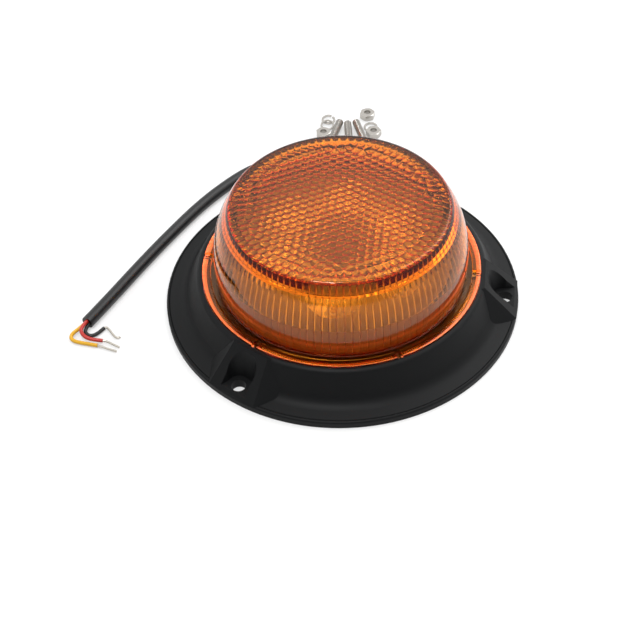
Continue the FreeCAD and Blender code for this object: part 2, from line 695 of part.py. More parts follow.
def lens_screws():
    """Six screws, driven from beneath into the lens bosses."""
    def one(i, x, y):
        return tapping_screw(f"lens_screw_{i}", x, y, "screw_shelf", "shelf_thickness + tapping_bite")
    ring_of("lens_screws", one, "lens_screw_count", "boss_circle")


# ---------------------------------------------------------------- lamp unit

def heat_spreader():
    """Aluminium disc on the cup's ledge, with a hub that takes the tray screws."""
    body = new_body("heat_spreader")
    hub = "tray_screw_circle + hub_depth"
    turned(body, "spreader_disc", [
        ("0", "ledge_height - hub_depth"), (hub, "ledge_height - hub_depth"), (hub, "ledge_height"),
        ("board_radius", "ledge_height"), ("board_radius", "spreader_top"), ("0", "spreader_top"),
    ])
    pilot = round_hole(body, "spreader_pilot", "tray_screw_circle", "0", "pilot_radius",
                       "ledge_height - hub_depth", "hub_depth + spreader_thickness")
    repeated(body, "spreader_pilots", [pilot], "tray_screw_count")
    round_hole(body, "spreader_wire_way", "0", "0", "wire_way", "ledge_height - hub_depth",
               "hub_depth + spreader_thickness")


def led_board():
    """Round metal-core board that carries the lamps."""
    body = new_body("led_board")
    turned(body, "led_board_disc", [
        ("0", "spreader_top"), ("board_radius", "spreader_top"),
        ("board_radius", "board_top"), ("0", "board_top"),
    ])
    hole = round_hole(body, "led_board_hole", "tray_screw_circle", "0", "pilot_radius + screw_gap",
                      "spreader_top", "board_thickness")
    repeated(body, "led_board_holes", [hole], "tray_screw_count")
    round_hole(body, "led_board_wire_way", "0", "0", "board_way", "spreader_top", "board_thickness")


def leds():
    """Six lamps, each a square body with a clear dome."""
    for i in range(int(number("led_count"))):
        angle = f"(led_first + 360 / led_count * {i}) * 1 deg"
        x, y = f"led_circle * cos({angle})", f"led_circle * sin({angle})"
        block = box(f"led_block_{i}", "led_side", "led_side", "led_body", x, y, "board_top")
        dome = doc.addObject("Part::Sphere", f"led_dome_{i}")
        bind(dome, "Radius", "led_dome")
        dome.Angle1 = 0
        put(dome, x, y, "board_top + led_body")
        joined(f"led_{i + 1}", [block, dome])


def reflector_tray():
    """Bright tray that covers the board, with a flared cup round each lamp."""
    body = new_body("reflector_tray")
    turned(body, "tray_blank", [
        ("0", "tray_height - tray_skin"),
        ("tray_radius - tray_skin", "tray_height - tray_skin"),
        ("tray_radius - tray_skin", "board_top"),
        ("tray_radius", "board_top"),
        ("tray_radius", "tray_height", "tray_round"),
        ("0", "tray_height"),
    ])
    post = round_post(body, "tray_post", "tray_screw_circle", "0", "tray_post", "board_top",
                      "tray_height - tray_skin / 2 - board_top")
    way = round_hole(body, "tray_screw_way", "tray_screw_circle", "0", "pilot_radius + screw_gap",
                     "board_top", "tray_height")
    sink = round_hole(body, "tray_screw_sink", "tray_screw_circle", "0",
                      "pilot_radius + tapping_head + head_gap", "tray_height - tapping_head_height - head_gap",
                      "tray_height")
    repeated(body, "tray_posts", [post, way, sink], "tray_screw_count")
    low = "(board_top + cup_lift)"
    deep = f"(tray_height - {low})"
    outer = body.newObject("PartDesign::AdditiveCone", "cup_outside")
    inner = body.newObject("PartDesign::SubtractiveCone", "cup_inside")
    for cone, extra, height in ((outer, "tray_skin", f"{deep} - tray_skin / 2"), (inner, "0", deep)):
        cone.AttachmentSupport = [(origin_feature(body, "XY_Plane"), "")]
        cone.MapMode = "FlatFace"
        bind(cone, "AttachmentOffset.Base.x", "led_circle * cos(led_first * 1 deg)")
        bind(cone, "AttachmentOffset.Base.y", "led_circle * sin(led_first * 1 deg)")
        bind(cone, "AttachmentOffset.Base.z", low)
        bind(cone, "Radius1", f"cup_throat + {extra}")
        bind(cone, "Radius2", f"cup_mouth + {extra}")
        bind(cone, "Height", height)
    repeated(body, "reflector_cups", [outer, inner], "led_count")


def hub_cap():
    """Black cap on the middle of the tray, over its screws."""
    body = new_body("hub_cap")
    dish = "tray_height + hub_rise - cap_dish"
    turned(body, "hub_disc", [
        ("0", "tray_height"),
        ("hub_radius", "tray_height"),
        ("hub_radius", "tray_height + hub_rise", "hub_rise / 2"),
        ("hub_radius - cap_rim", "tray_height + hub_rise"),
        ("hub_radius - cap_rim - cap_dish", dish),
        ("0", dish),
    ])


def tray_screws():
    """Three screws through the tray and the board into the spreader's hub."""
    seat = "(tray_height - tapping_head_height - head_gap)"

    def one(i, x, y):
        length = f"{seat} - ledge_height + hub_depth / 2"
        return tapping_screw(f"tray_screw_{i}", x, y, seat, length, up=False)
    ring_of("tray_screws", one, "tray_screw_count", "tray_screw_circle")


# ---------------------------------------------------------------- driver

def driver_board():
    """Round board on the cup's posts, with a gap where the lead comes in."""
    body = new_body("driver_board")
    turned(body, "driver_disc", [
        ("0", "driver_height"), ("driver_radius", "driver_height"),
        ("driver_radius", "driver_top"), ("0", "driver_top"),
    ])
    hole = round_hole(body, "driver_hole", "driver_post_circle * cos(driver_post_turn * 1 deg)",
                      "driver_post_circle * sin(driver_post_turn * 1 deg)", "pilot_radius + screw_gap",
                      "driver_height", "board_thickness")
    repeated(body, "driver_holes", [hole], "3")
    gap = new_sketch(body, "driver_gap_outline", z="driver_height", turn="exit_angle")
    side = "driver_notch_width / 2"
    draw_outline(gap, [("driver_notch", f"-{side}"), ("driver_radius + 1", f"-{side}"),
                       ("driver_radius + 1", side), ("driver_notch", side)])
    raised(body, "driver_gap", gap, "board_thickness", cut=True)


def driver_screws():
    """Three screws through the driver board into its posts."""
    def one(i, x, y):
        length = "driver_top - cup_floor - head_gap"
        return tapping_screw(f"driver_screw_{i}", x, y, "driver_top", length, up=False)
    ring_of("driver_screws", one, "3", "driver_post_circle", "driver_post_turn")


def driver_parts():
    """What stands on the driver board, and the pins up to the lamp board."""
    joined("smoothing_capacitors", [
        cylinder(f"capacitor_{i}", "capacitor_radius", "capacitor_height", "capacitor_x",
                 f"capacitor_pitch * ({i} - 1)", "driver_top") for i in range(2)
    ])
    keep(box("choke_core", "choke_side", "choke_side", "choke_height", "choke_x", "choke_y",
             "driver_top"), "choke_coil")
    keep(box("flash_controller_body", "chip_width", "chip_length", "chip_height", "chip_x", "chip_y",
             "driver_top"), "flash_controller")
    joined("power_switches", [
        box(f"power_switch_{i}", "switch_width", "switch_length", "switch_height", "switch_x",
            f"switch_pitch * ({i} - 1.5)", "driver_top") for i in range(3)
    ])
    header_top = "(ledge_height - hub_depth - head_gap)"
    keep(box("pin_header_body", "pin_pitch * 3", "pin_pitch", f"{header_top} - driver_top", "0", "0",
             "driver_top"), "link_header")
    joined("link_pins", [
        box(f"link_pin_{i}", "pin_side", "pin_side", f"board_top + pin_side - {header_top}",
            f"pin_pitch * ({i} - 1)", "0", header_top) for i in range(3)
    ])


# ---------------------------------------------------------------- lead

EXIT = "(exit_angle * 1 deg)"


def along_exit(thing, reach, aside="0", rise="0"):
    """Lays a thing that was built along Z in the lead's exit direction, from radius reach."""
    angle = math.radians(number("exit_angle"))
    out = FreeCAD.Vector(math.cos(angle), math.sin(angle), 0)
    thing.Placement = FreeCAD.Placement(ORIGIN, FreeCAD.Rotation(UP, out))
    put(thing, f"({reach}) * cos{EXIT} - ({aside}) * sin{EXIT}",
        f"({reach}) * sin{EXIT} + ({aside}) * cos{EXIT}", f"exit_height + {rise}")


def lead_bush():
    """Rubber bush in the cup wall, with a flange on each side and the lead through it."""
    body = new_body("lead_bush")
    turned(body, "bush_section", [
        ("lead_radius", "-bush_inner"),
        ("bush_flange", "-bush_inner", "bush_round"),
        ("bush_flange", "0"),
        ("bush_neck", "0"),
        ("bush_neck", "cup_wall"),
        ("bush_flange", "cup_wall"),
        ("bush_flange", "cup_wall + bush_outer", "bush_round"),
        ("lead_radius", "cup_wall + bush_outer"),
    ])
    along_exit(body, "cup_radius")


def lead_tail():
    """The end of the lead that the bush holds."""
    tail = cylinder("lead_tail_jacket", "lead_radius", "exit_reach - tail_radius")
    keep(tail, "lead_tail")
    along_exit(tail, "tail_radius")


def supply_cores():
    """The three cores between the lead's tail and the terminal block, and that block."""
    cores = []
    for i, (side, rise) in enumerate(((-1, -0.6), (0, 1.2), (1, -0.6))):
        core = cylinder(f"supply_core_{i}", "core_radius", "core_length")
        along_exit(core, "tail_radius - core_length", f"{side} * core_radius * 1.15", f"{rise} * core_radius")
        cores.append(core)
    joined("supply_cores", cores)
    block = box("terminal_body", "terminal_depth", "terminal_width", "terminal_height")
    block.Placement = FreeCAD.Placement(ORIGIN, FreeCAD.Rotation(UP, number("exit_angle")))
    near = "(tail_radius - core_length - terminal_depth)"
    put(block, f"{near} * cos{EXIT} + terminal_width / 2 * sin{EXIT}",
        f"{near} * sin{EXIT} - terminal_width / 2 * cos{EXIT}", "driver_top")
    keep(block, "terminal_block")


LEAD_ROUTE = [
    (-2.7, 51.93, 7.2), (-3.4, 64.9, 7.2), (-9.4, 77.7, 5.3), (-20.2, 86.8, 3.2), (-33.8, 90.5, 2.9),
    (-47.7, 88.1, 2.9), (-59.3, 80.1, 2.9), (-72.9, 56.8, 2.9), (-84.6, 32, 2.9), (-95.9, 5.8, 2.9),
    (-104.2, -15.2, 2.9), (-111.4, -32.1, 2.9),
]
CORE_ROUTES = {
    "red": [(-111.4, -32.1, 3.9), (-113.2, -36.2, 3.8), (-112.4, -39.1, 3.3), (-110.1, -41, 2.7),
            (-106.3, -41.5, 2), (-102.4, -41.1, 1.5)],
    "yellow": [(-112.2, -31.7, 2.4), (-114.4, -35.3, 2.1), (-117, -38, 1.5), (-117.4, -40.3, 1.1),
               (-115.7, -42, 0.9), (-112, -42.8, 0.9), (-108.2, -43.2, 0.9), (-104.2, -43.7, 0.9)],
    "black": [(-110.6, -32.5, 2.4), (-111.9, -35.3, 1.9), (-110.9, -37.9, 1.3), (-108, -38.4, 1),
              (-105.6, -36.2, 0.9), (-103.8, -32.9, 0.9)],
}
STRAND_ROUTES = {
    "red": [(-102.4, -41.1, 1.5), (-101, -40.95, 1.3), (-98, -42.2, 1), (-94.4, -43.5, 0.6)],
    "yellow": [(-104.2, -43.7, 0.9), (-102.6, -43.9, 0.8), (-99, -45.1, 0.6), (-95.1, -46, 0.55)],
    "black": [(-103.8, -32.9, 0.9), (-103.2, -31.9, 0.8), (-101.6, -33.1, 0.7), (-98.9, -36.4, 0.6),
              (-96.6, -38.4, 0.6), (-95.4, -37.3, 0.55)],
}


def route_wire(points, name):
    """Straight runs joined by arcs as large as their runs allow, and the least radius."""
    spots = [FreeCAD.Vector(*point) for point in points]
    edges, radii, start = [], [], spots[0]
    for before, corner, after in zip(spots, spots[1:], spots[2:]):
        inward, outward = (corner - before).normalize(), (after - corner).normalize()
        half = inward.getAngle(outward) / 2
        reach = 0.45 * min((corner - before).Length, (after - corner).Length)
        first, last = corner - inward * reach, corner + outward * reach
        radius = reach / math.tan(half)
        centre_way = (outward - inward).normalize()
        middle = corner + centre_way * (radius / math.cos(half) - radius)
        edges.append(Part.LineSegment(start, first).toShape())
        edges.append(Part.Arc(first, middle, last).toShape())
        radii.append(radius)
        start = last
    edges.append(Part.LineSegment(start, spots[-1]).toShape())
    print(name, "radii", [round(radius, 1) for radius in radii])
    return Part.Wire(edges)


def tube(label, points, radius):
    """A round cord swept along a route, checked against its section times its length."""
    wire = route_wire(points, label)
    path = doc.addObject("Part::Feature", "Route_" + label)
    path.Shape = wire
    section = doc.addObject("Part::Circle", "Section_" + label)
    bind(section, "Radius", radius)
    heading = FreeCAD.Vector(*points[1]) - FreeCAD.Vector(*points[0])
    section.Placement = FreeCAD.Placement(FreeCAD.Vector(*points[0]), FreeCAD.Rotation(UP, heading))
    sweep = doc.addObject("Part::Sweep", "Cord_" + label)
    sweep.Sections = [section]
    sweep.Spine = (path, [f"Edge{i + 1}" for i in range(len(wire.Edges))])
    sweep.Solid = True
    doc.recompute()
    wanted = math.pi * number(radius) ** 2 * wire.Length
    if abs(sweep.Shape.Volume / wanted - 1) > 0.02:
        raise RuntimeError(f"{label} has {sweep.Shape.Volume:.1f} mm3 and not {wanted:.1f}")
    print(label, f"length {wire.Length:.1f} mm")
    return keep(sweep, label)


def lead():
    """The lead outside the base, its three cores and their bared ends."""
    tube("lead_jacket", LEAD_ROUTE, "lead_radius")
    for colour, points in CORE_ROUTES.items():
        tube("core_" + colour, points, "core_radius")
    for colour, points in STRAND_ROUTES.items():
        tube("strands_" + colour, points, "strand_radius")


# ---------------------------------------------------------------- loose hardware

SCREW_PLACES = [((-18.1, 99.9), (-15.1, 124.6)), ((-7.2, 99.3), (-11.1, 124)), ((1.4, 101.7), (-7, 125.3))]
NUT_PLACES = [(-1.5, 131.9, 20), (3.2, 117.1, 5), (-22.5, 114, 40)]
WASHER_PLACES = [(-21.5, 127.2, 60, 0), (-21.4, 121.7, 200, 12), (1.1, 122.8, 320, 0)]


def mount_screws():
    """Three M4 pan-head screws that lie on their head's rim and their tip."""
    for i, (head, tip) in enumerate(SCREW_PLACES, 1):
        body = new_body(f"mount_screw_{i}")
        turned(body, f"mount_screw_{i}_turn", [
            ("0", "0"),
            ("screw_head_radius * 0.96", "0"),
            ("screw_head_radius", "screw_head_height / 6"),
            ("screw_head_radius * 0.62", "screw_head_height"),
            ("0", "screw_head_height"),
        ], bulges={2: "screw_head_radius * 1.05"})
        cross = new_sketch(body, f"mount_screw_{i}_cross", z="screw_head_height - drive_depth")
        wing, web = "screw_head_radius * 0.5", "drive_web / 2"
        draw_outline(cross, [
            (wing, f"-{web}"), (wing, web), (web, web), (web, wing), (f"-{web}", wing), (f"-{web}", web),
            (f"-{wing}", web), (f"-{wing}", f"-{web}"), (f"-{web}", f"-{web}"), (f"-{web}", f"-{wing}"),
            (web, f"-{wing}"), (web, f"-{web}"),
        ])
        raised(body, f"mount_screw_{i}_drive", cross, "drive_depth * 2", cut=True)
        turned(body, f"mount_screw_{i}_shank", [
            ("0", "-screw_length"),
            ("thread_radius - thread_bevel", "-screw_length"),
            ("thread_radius", "thread_bevel - screw_length"),
            ("thread_radius", "0"),
            ("0", "0"),
        ])
        low, high = FreeCAD.Vector(*tip, 0), FreeCAD.Vector(*head, 0)
        away = (high - low).normalize()
        lean = math.atan2(number("screw_head_radius - thread_radius"), number("screw_length"))
        axis = away * math.cos(lean) + UP * math.sin(lean)
        seat = high + UP * number("screw_head_radius") * math.cos(lean)
        body.Placement = FreeCAD.Placement(seat, FreeCAD.Rotation(UP, axis))


def mount_nuts():
    """Three hexagon nuts with chamfered corners, flat on the ground."""
    for i, (x, y, turn) in enumerate(NUT_PLACES, 1):
        body = new_body(f"mount_nut_{i}")
        name = f"mount_nut_{i}"
        sketch = new_sketch(body, name + "_hexagon")
        corner = "nut_flats / 2 / cos(30 deg)"
        draw_outline(sketch, [(f"{corner} * cos({60 * k + 3} deg)", f"{corner} * sin({60 * k + 3} deg)")
                              for k in range(6)])
        raised(body, name + "_blank", sketch, "nut_height")
        for side, flat, slope in (("top", "nut_height", "nut_height - nut_bevel"),
                                  ("under", "0", "nut_bevel")):
            beyond = "nut_height + 1" if side == "top" else "-1"
            turned(body, f"{name}_{side}_bevel", [
                ("nut_flats * 0.485", flat), ("nut_flats * 0.485 + nut_bevel * 2", slope),
                ("nut_flats", slope), ("nut_flats", beyond), ("nut_flats * 0.485", beyond),
            ], cut=True)
        round_hole(body, name + "_bore", "0", "0", "thread_radius * 0.84", "-1", "nut_height + 2")
        body.Placement = FreeCAD.Placement(FreeCAD.Vector(x, y, 0), FreeCAD.Rotation(UP, turn))


def spring_washers():
    """Three split spring washers, one of them leaning on the next."""
    for i, (x, y, turn, lean) in enumerate(WASHER_PLACES, 1):
        body = new_body(f"spring_washer_{i}")
        name = f"spring_washer_{i}"
        turned(body, name + "_ring", [
            ("washer_inner", "0"), ("washer_outer", "0"),
            ("washer_outer", "washer_thickness"), ("washer_inner", "washer_thickness"),
        ])
        split = new_sketch(body, name + "_split_outline", z="-1")
        side = "washer_split / 2"
        draw_outline(split, [("washer_inner - 1", f"-{side}"), ("washer_outer + 1", f"-{side}"),
                             ("washer_outer + 1", side), ("washer_inner - 1", side)])
        raised(body, name + "_split", split, "washer_thickness + 2", cut=True)
        tilt = FreeCAD.Rotation(FreeCAD.Vector(1, 0, 0), lean)
        rise = number("washer_outer") * math.sin(math.radians(lean))
        body.Placement = FreeCAD.Placement(FreeCAD.Vector(x, y, rise), tilt * FreeCAD.Rotation(UP, turn))


# ---------------------------------------------------------------- write the files

for build in (base_housing, lens, lens_seal, lens_screws, heat_spreader, led_board, leds,
              reflector_tray, hub_cap, tray_screws, driver_board, driver_screws, driver_parts,
              lead_bush, lead_tail, supply_cores, lead, mount_screws, mount_nuts, spring_washers):
    build()
    doc.recompute()

for thing in doc.Objects:
    if "Invalid" in thing.State or "Error" in thing.State:
        raise RuntimeError(f"{thing.Name} ({thing.Label}) is {thing.State}")
os.makedirs("parts", exist_ok=True)
for label, thing in parts.items():
    shape = thing.Shape
    if shape.isNull() or not shape.isValid():
        raise RuntimeError(f"{label} has no valid shape")
    shape.exportStep(f"parts/{label}.step")
    print(f"{label}: {len(shape.Solids)} solids, {shape.Volume:.0f} mm3")
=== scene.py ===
import json
import math
import bpy
from mathutils import Matrix, Vector, geometry


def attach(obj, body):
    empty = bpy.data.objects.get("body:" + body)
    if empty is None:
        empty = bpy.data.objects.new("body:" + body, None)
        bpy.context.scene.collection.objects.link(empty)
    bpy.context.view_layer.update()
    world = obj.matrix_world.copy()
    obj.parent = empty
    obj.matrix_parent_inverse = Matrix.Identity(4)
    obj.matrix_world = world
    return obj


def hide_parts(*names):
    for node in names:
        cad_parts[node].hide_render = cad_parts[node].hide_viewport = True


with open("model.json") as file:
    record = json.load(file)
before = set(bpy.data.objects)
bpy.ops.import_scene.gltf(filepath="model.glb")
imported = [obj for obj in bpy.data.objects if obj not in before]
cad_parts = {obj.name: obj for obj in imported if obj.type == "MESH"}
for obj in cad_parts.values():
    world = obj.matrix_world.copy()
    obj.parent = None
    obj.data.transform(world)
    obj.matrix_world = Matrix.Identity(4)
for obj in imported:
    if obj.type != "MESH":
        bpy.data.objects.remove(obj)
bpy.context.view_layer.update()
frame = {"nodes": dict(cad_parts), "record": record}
MM = 0.001
TURN = 2 * math.pi

# The lens, in millimetres, as the moulding is drawn.
FLANGE_R = 62.4
FLANGE_Z = 17.6
RING_R = 58.6
RING_Z = 18.8
RING_GAP = 2.4
FOOT_R = 55.8
TOP_R = 48.0
TOP_Z = 53.7
WALL_CURVE = 47.5
WALL = 2.4
TOP_ROUND = 2.0
CEILING_Z = 51.5
STEP_R = 47.7
STEP_Z = 46.0
STEP_OUT_R = 49.6
UNDERSIDE_Z = 15.86
SCREW_PLACES = [((-18.1, 99.9), (-15.1, 124.6)), ((-7.2, 99.3), (-11.1, 124)), ((1.4, 101.7), (-7, 125.3))]
WASHER_PLACES = [(-21.5, 127.2, 60, 0), (-21.4, 121.7, 200, 12), (1.1, 122.8, 320, 0)]
SCREW_R = 2
SCREW_LENGTH = 25
TIP_BEVEL = 0.7
THREAD_PITCH = 0.7
THREAD_DEPTH = 0.43
THREAD_STEPS = 6
HEAD_R = 4
HEAD_H = 3.1
HEAD_FOOT, HEAD_CROWN, HEAD_CURVE = 0.96, 0.62, 1.05
DRIVE_WEB = 0.9
DRIVE_WING = 0.5
DRIVE_DEPTH = 1.6
SCREW_SIDES = 32
THREAD_FLANK = 2.4
WASHER_OUTER = 3.6
WASHER_INNER = 2.7
WASHER_H = 0.9
WASHER_RISE = 0.4
WASHER_SPLIT = 0.8
WASHER_EDGE = 0.1
WASHER_STEPS = 60
FLUTES = 108
FLUTE_DEPTH = 0.3
FLUTE_SHARE = 0.13
FROST_LOW_Z = 18.2
FROST_TOP_Z = 31.5
FROST_R = 55.2
RING_FROST_R = 60.4
RING_FROST_Z = 16.6
FLOOR_GLOW = 0.4
RING_GLOW = 0.95
POLISH = 0.03
CELL_PITCH = 3.6
CELL_DEPTH = 0.6
# Each cushion's rings of points: share of its half width, and share of its depth.
CUSHION_RINGS = ((0.8, 0.36), (0.55, 0.7), (0.28, 0.92))
TEETH = 380
TOOTH_HEIGHT = 0.45
SCREWS_ROUND = 6
EDGE = 0.3

# How dull the moulded frosting is, where 1 lets no light straight through.
FROST_DULLING = 0.7
RING_DULLING = 0.9
CELL_ROUGHNESS = 0.04
AMBER_DENSITY = 600
GLOW_WIDTH = 1.6

# The reflector's flat: white up to the first radius, in shade from the second.
TRAY_LIT_R = 20
TRAY_SHADE_R = 46

# Noise scales, in bumps to a metre. Each skin is drawn coarser than the real one so that it shows:
# real moulded and sawn skins have grains of 0.02 to 0.1 mm.
HOUSING_GRAIN = 1400  # 0.7 mm
PLASTIC_GRAIN = 900   # 1.1 mm
JACKET_GRAIN = 1200   # 0.8 mm
METAL_GRAIN = 2500    # 0.4 mm
RING_GLOW_SPECKLE = 800      # 1.25 mm, near the ring's teeth at 1 mm; it makes the painted glow under the ring patchy

# Routes in millimetres. The lead's lies up to 3.3 mm from the one in the part's source, and is 3 mm
# shorter; the cores and their bare ends have the same routes there.
LEAD_RADIUS = 2.9
CORE_RADIUS = 0.86
STRAND_RADIUS = 0.5
LEAD_ROUTE = [
    (-2.7, 51.93, 7.2), (-3.4, 64.9, 7.2), (-9.4, 77.7, 5.3), (-19.5, 85.6, 3.2), (-31, 88.5, 2.9),
    (-43.2, 86.7, 2.9), (-55.9, 79.7, 2.9), (-72.4, 56.8, 2.9), (-84.6, 32, 2.9), (-95.9, 5.8, 2.9),
    (-104.2, -15.2, 2.9), (-111.4, -32.1, 2.9),
]
CORE_ROUTES = {
    "red": [(-111.4, -32.1, 3.9), (-113.2, -36.2, 3.8), (-112.4, -39.1, 3.3), (-110.1, -41, 2.7),
            (-106.3, -41.5, 2), (-102.4, -41.1, 1.5)],
    "yellow": [(-112.2, -31.7, 2.4), (-114.4, -35.3, 2.1), (-117, -38, 1.5), (-117.4, -40.3, 1.1),
               (-115.7, -42, 0.9), (-112, -42.8, 0.9), (-108.2, -43.2, 0.9), (-104.2, -43.7, 0.9)],
    "black": [(-110.6, -32.5, 2.4), (-111.9, -35.3, 1.9), (-110.9, -37.9, 1.3), (-108, -38.4, 1),
              (-105.6, -36.2, 0.9), (-103.8, -32.9, 0.9)],
}
STRAND_ROUTES = {
    "red": [(-102.4, -41.1, 1.5), (-101, -40.95, 1.3), (-98, -42.2, 1), (-94.4, -43.5, 0.6)],
    "yellow": [(-104.2, -43.7, 0.9), (-102.6, -43.9, 0.8), (-99, -45.1, 0.6), (-95.1, -46, 0.55)],
    "black": [(-103.8, -32.9, 0.9), (-103.2, -31.9, 0.8), (-101.6, -33.1, 0.7), (-98.9, -36.4, 0.6),
              (-96.6, -38.4, 0.6), (-95.4, -37.3, 0.55)],
}


# Floor, lamps (place in metres, watts, width) and the main view.
FLOOR_HALF = 40
FLOOR_DROP = 0.0002
LAMPS = (("key", (-0.12, -0.32, 1.1), 4.5, 0.3), ("fill", (0.5, 0.6, 0.9), 5, 0.8))
CAMERA_LENS = 75.94
CAMERA_PLACE = (0.058164, -0.435917, 0.435413)
CAMERA_AHEAD = (-0.10883, 0.68840, -0.71712)
CAMERA_ROLL = -2.6075
# Where the colour Mix node has its two colours.
MIX_A, MIX_B = 6, 7


# ---------------------------------------------------------------- materials

def linear(code):
    """The linear colour of a hex sRGB code."""
    values = [int(code[i:i + 2], 16) / 255 for i in (1, 3, 5)]
    return tuple(v / 12.92 if v <= 0.04045 else ((v + 0.055) / 1.055) ** 2.4 for v in values) + (1,)


def add(mat, kind, inputs=None, **settings):
    """A shader node; an input is a plain value or another node's output."""
    item = mat.node_tree.nodes.new(kind)
    for name, value in settings.items():
        setattr(item, name, value)
    for name, value in (inputs or {}).items():
        if isinstance(value, bpy.types.NodeSocket):
            mat.node_tree.links.new(value, item.inputs[name])
        else:
            item.inputs[name].default_value = value
    return item


def blend(mat, share, first, second):
    """A colour between two hex codes."""
    item = add(mat, "ShaderNodeMix", {"Factor": share}, data_type="RGBA")
    item.inputs[MIX_A].default_value = linear(first)
    item.inputs[MIX_B].default_value = linear(second)
    return item


def axis_distance(mat, place):
    """How far a point lies from the upright axis, in metres."""
    flat = add(mat, "ShaderNodeVectorMath", {0: place}, operation="MULTIPLY")
    flat.inputs[1].default_value = (1, 1, 0)
    return add(mat, "ShaderNodeVectorMath", {0: flat.outputs[0]}, operation="LENGTH").outputs["Value"]


def new_material(name, colour, roughness, **extra):
    """A material with its main shader; extra holds the shader's other constant inputs."""
    mat = bpy.data.materials.new(name)
    mat.use_nodes = True
    shader = mat.node_tree.nodes["Principled BSDF"]
    shader.inputs["Base Color"].default_value = linear(colour)
    shader.inputs["Roughness"].default_value = roughness
    for key, value in extra.items():
        shader.inputs[key.replace("_", " ")].default_value = value
    return mat, shader


def grain(mat, shader, scale, height, roughness, tints):
    """Fine relief, a range of roughness and a range of colour, all from one noise."""
    place = add(mat, "ShaderNodeTexCoord")
    noise = add(mat, "ShaderNodeTexNoise", {"Vector": place.outputs["Object"], "Scale": scale, "Detail": 3})
    bump = add(mat, "ShaderNodeBump", {"Height": noise.outputs["Fac"], "Strength": 0.4, "Distance": height})
    mat.node_tree.links.new(bump.outputs["Normal"], shader.inputs["Normal"])
    level = add(mat, "ShaderNodeMapRange",
                {"Value": noise.outputs["Fac"], "To Min": roughness[0], "To Max": roughness[1]})
    mat.node_tree.links.new(level.outputs["Result"], shader.inputs["Roughness"])
    tint = blend(mat, noise.outputs["Fac"], *tints)
    mat.node_tree.links.new(tint.outputs[2], shader.inputs["Base Color"])
    return mat


def housing_material():
    """Black moulded ABS with a fine spark-eroded skin, so its gloss is low and even."""
    mat, shader = new_material("black_moulding", "#0c0d0e", 0.48, Specular_IOR_Level=0.16)
    return grain(mat, shader, HOUSING_GRAIN, 0.00006, (0.44, 0.54), ("#0a0b0c", "#101112"))


def both(mat, one, other):
    """The product of two values: where both masks hold."""
    return add(mat, "ShaderNodeMath", {0: one, 1: other}, operation="MULTIPLY").outputs[0]


def within(mat, value, low, high):
    """1 where a length lies between two limits in millimetres, else 0."""
    above = add(mat, "ShaderNodeMath", {0: value, 1: low * MM}, operation="GREATER_THAN")
    below = add(mat, "ShaderNodeMath", {0: value, 1: high * MM}, operation="LESS_THAN")
    return both(mat, above.outputs[0], below.outputs[0])


def lens_material():
    """Tinted clear acrylic, moulded and polished: the colour deepens with thickness. It is frosted low
    on the wall and under the ring. The small emission under the ring stands for light that real acrylic
    gathers at its edge; it isn't physical, and it shows in the dark too."""
    mat, shader = new_material("amber_acrylic", "#ffe9cf", POLISH, Transmission_Weight=1, IOR=1.49,
                               Specular_Tint=linear("#ffe2cd"), Emission_Color=(1, 0.33, 0.5, 1))
    place = add(mat, "ShaderNodeTexCoord").outputs["Object"]
    parts = add(mat, "ShaderNodeSeparateXYZ", {"Vector": place})
    radius, height = axis_distance(mat, place), parts.outputs["Z"]
    low = within(mat, height, FROST_LOW_Z, FROST_TOP_Z)
    inside = both(mat, low, within(mat, radius, 0, FROST_R))
    ring = both(mat, within(mat, radius, RING_FROST_R, FLANGE_R + 1),
                within(mat, height, 0, RING_FROST_Z))
    cells = both(mat, within(mat, height, STEP_Z, CEILING_Z + 1),
                 within(mat, radius, 0, STEP_R - 0.01))
    rough = add(mat, "ShaderNodeMath", {0: cells, 1: CELL_ROUGHNESS, 2: POLISH}, operation="MULTIPLY_ADD")
    clear = add(mat, "ShaderNodeMath", {0: inside, 1: -FROST_DULLING, 2: 1}, operation="MULTIPLY_ADD")
    clear = add(mat, "ShaderNodeMath", {0: ring, 1: -RING_DULLING, 2: clear.outputs[0]},
                operation="MULTIPLY_ADD")
    tint = blend(mat, inside, "#ffe9cf", "#b9a6b8")
    mat.node_tree.links.new(tint.outputs[2], shader.inputs["Base Color"])
    outward = add(mat, "ShaderNodeMapRange", {
        "Value": radius, "From Min": RING_FROST_R * MM, "From Max": (RING_FROST_R + GLOW_WIDTH) * MM,
        "To Min": RING_GLOW / 5, "To Max": RING_GLOW})
    # Noise that makes the painted glow under the ring patchy.
    glow_speckle = add(mat, "ShaderNodeTexNoise", {"Vector": place, "Scale": RING_GLOW_SPECKLE})
    glow_speckle = add(mat, "ShaderNodeMapRange", {
        "Value": glow_speckle.outputs["Fac"], "From Min": 0.35, "From Max": 0.65, "To Min": 0.4, "To Max": 1.4})
    glow = both(mat, both(mat, ring, outward.outputs["Result"]), glow_speckle.outputs["Result"])
    mat.node_tree.links.new(rough.outputs[0], shader.inputs["Roughness"])
    mat.node_tree.links.new(clear.outputs[0], shader.inputs["Transmission Weight"])
    mat.node_tree.links.new(glow, shader.inputs["Emission Strength"])
    absorb = add(mat, "ShaderNodeVolumeAbsorption",
                 {"Color": (0.99, 0.735, 0.075, 1), "Density": AMBER_DENSITY})
    mat.node_tree.links.new(absorb.outputs[0], mat.node_tree.nodes["Material Output"].inputs["Volume"])
    return mat


def plain_plastic(name, colour, roughness, tints, scale=PLASTIC_GRAIN, height=0.00003):
    """Moulded plastic or rubber: one colour with a faint, even skin."""
    mat, shader = new_material(name, colour, roughness)
    return grain(mat, shader, scale, height, (roughness * 0.85, roughness * 1.15), tints)


def metal(name, colour, roughness, tints):
    """Bare or plated metal as it comes from the works: bright, with a slightly uneven shine."""
    mat, shader = new_material(name, colour, roughness, Metallic=1)
    return grain(mat, shader, METAL_GRAIN, 0.00001, (roughness * 0.7, roughness * 1.4), tints)


